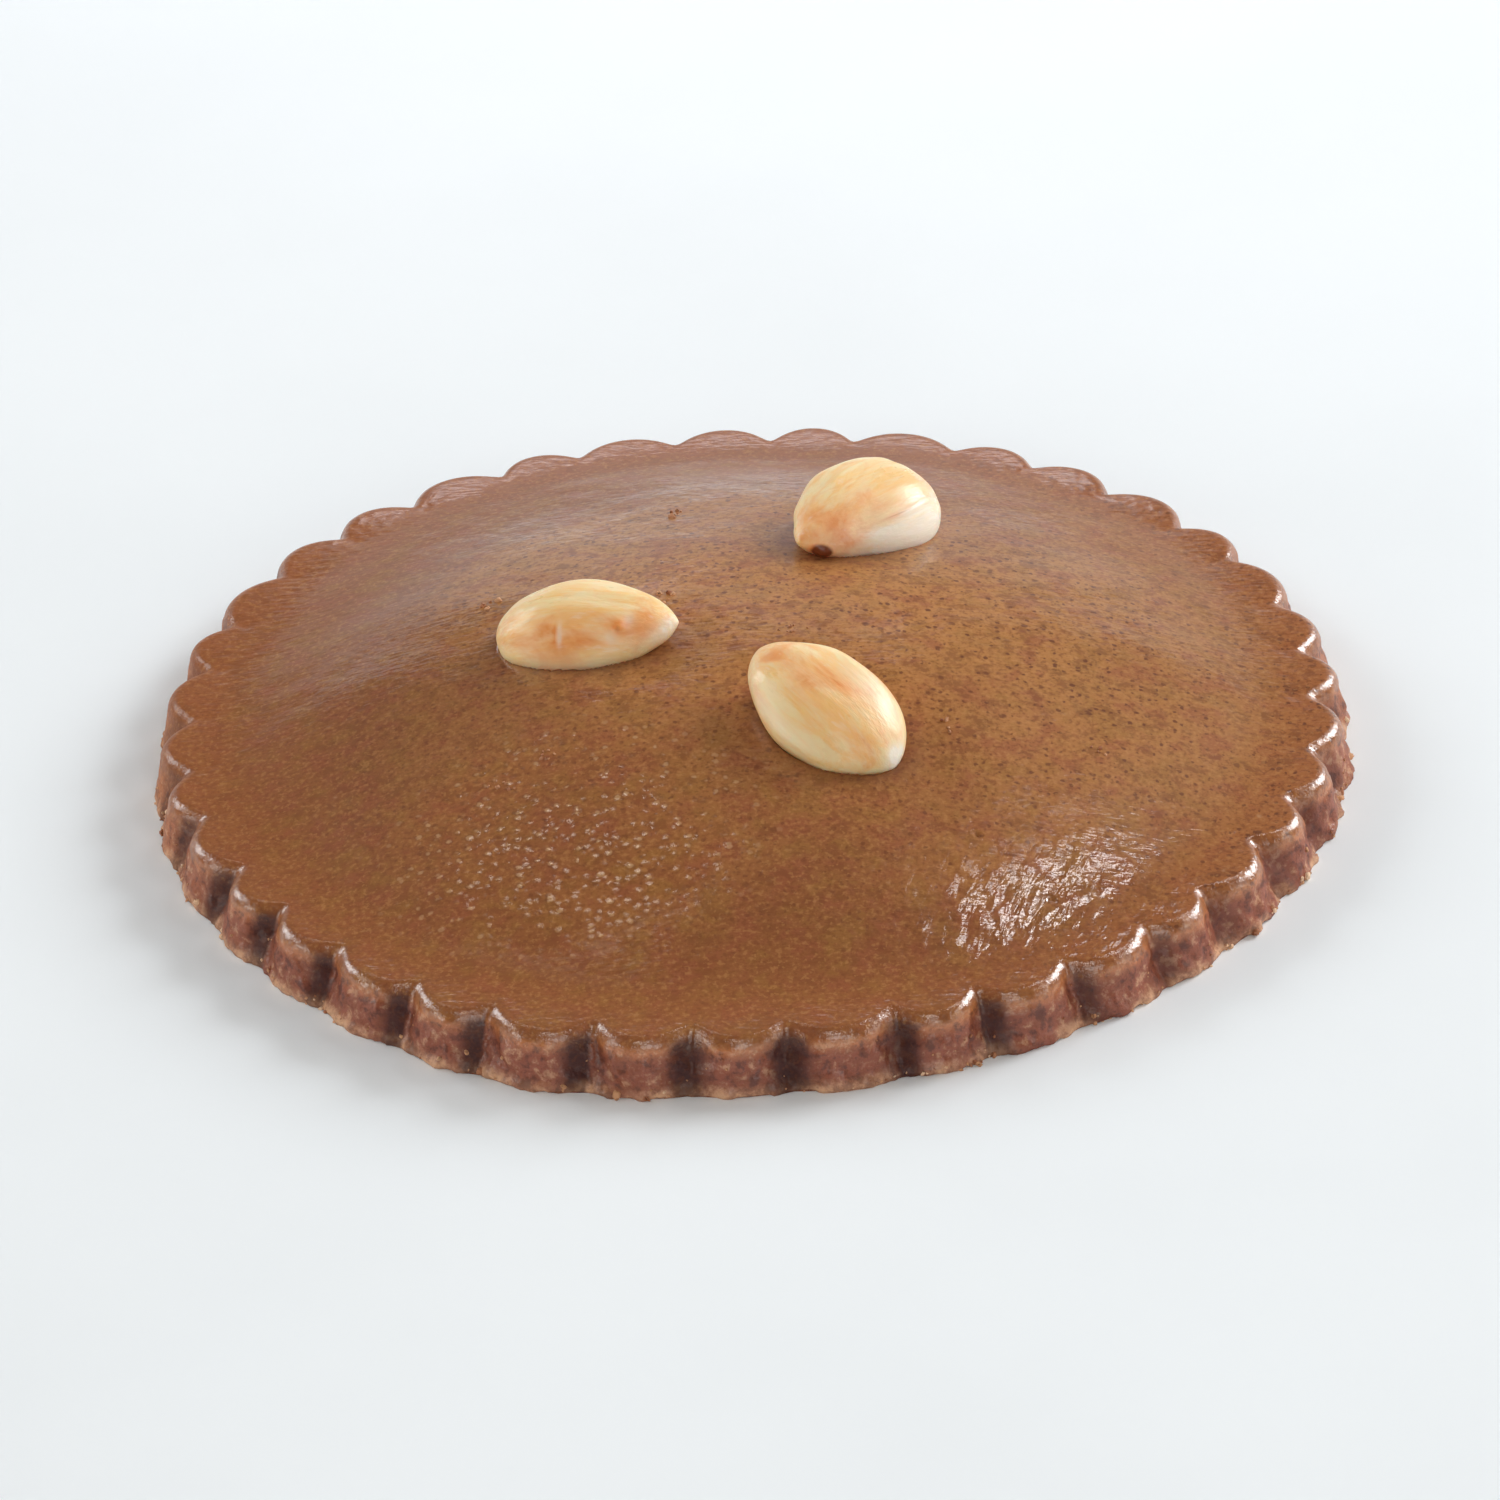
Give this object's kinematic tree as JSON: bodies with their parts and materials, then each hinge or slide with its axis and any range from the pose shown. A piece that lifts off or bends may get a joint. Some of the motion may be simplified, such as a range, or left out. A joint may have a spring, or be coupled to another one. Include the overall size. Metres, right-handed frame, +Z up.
{
  "type": "filled spice cookie",
  "caption": "Round spice cookie with a fluted edge, a low dome over its filling, a satin egg glaze and whole blanched almonds pressed into the top.",
  "frame": {"origin": "middle of the flat underside, on the surface that the cookie lies on", "axes": "+Z up through the dome; +Y from the front almond towards the back one; +X to the right of that"},
  "size_m": [0.1162, 0.1168, 0.0207],
  "materials": {
    "dough": "satin",
    "almond": "satin"
  },
  "bodies": {
    "root": {"cookie": "dough", "almond_left": "almond", "almond_back": "almond", "almond_front": "almond"}
  },
  "joints": []
}
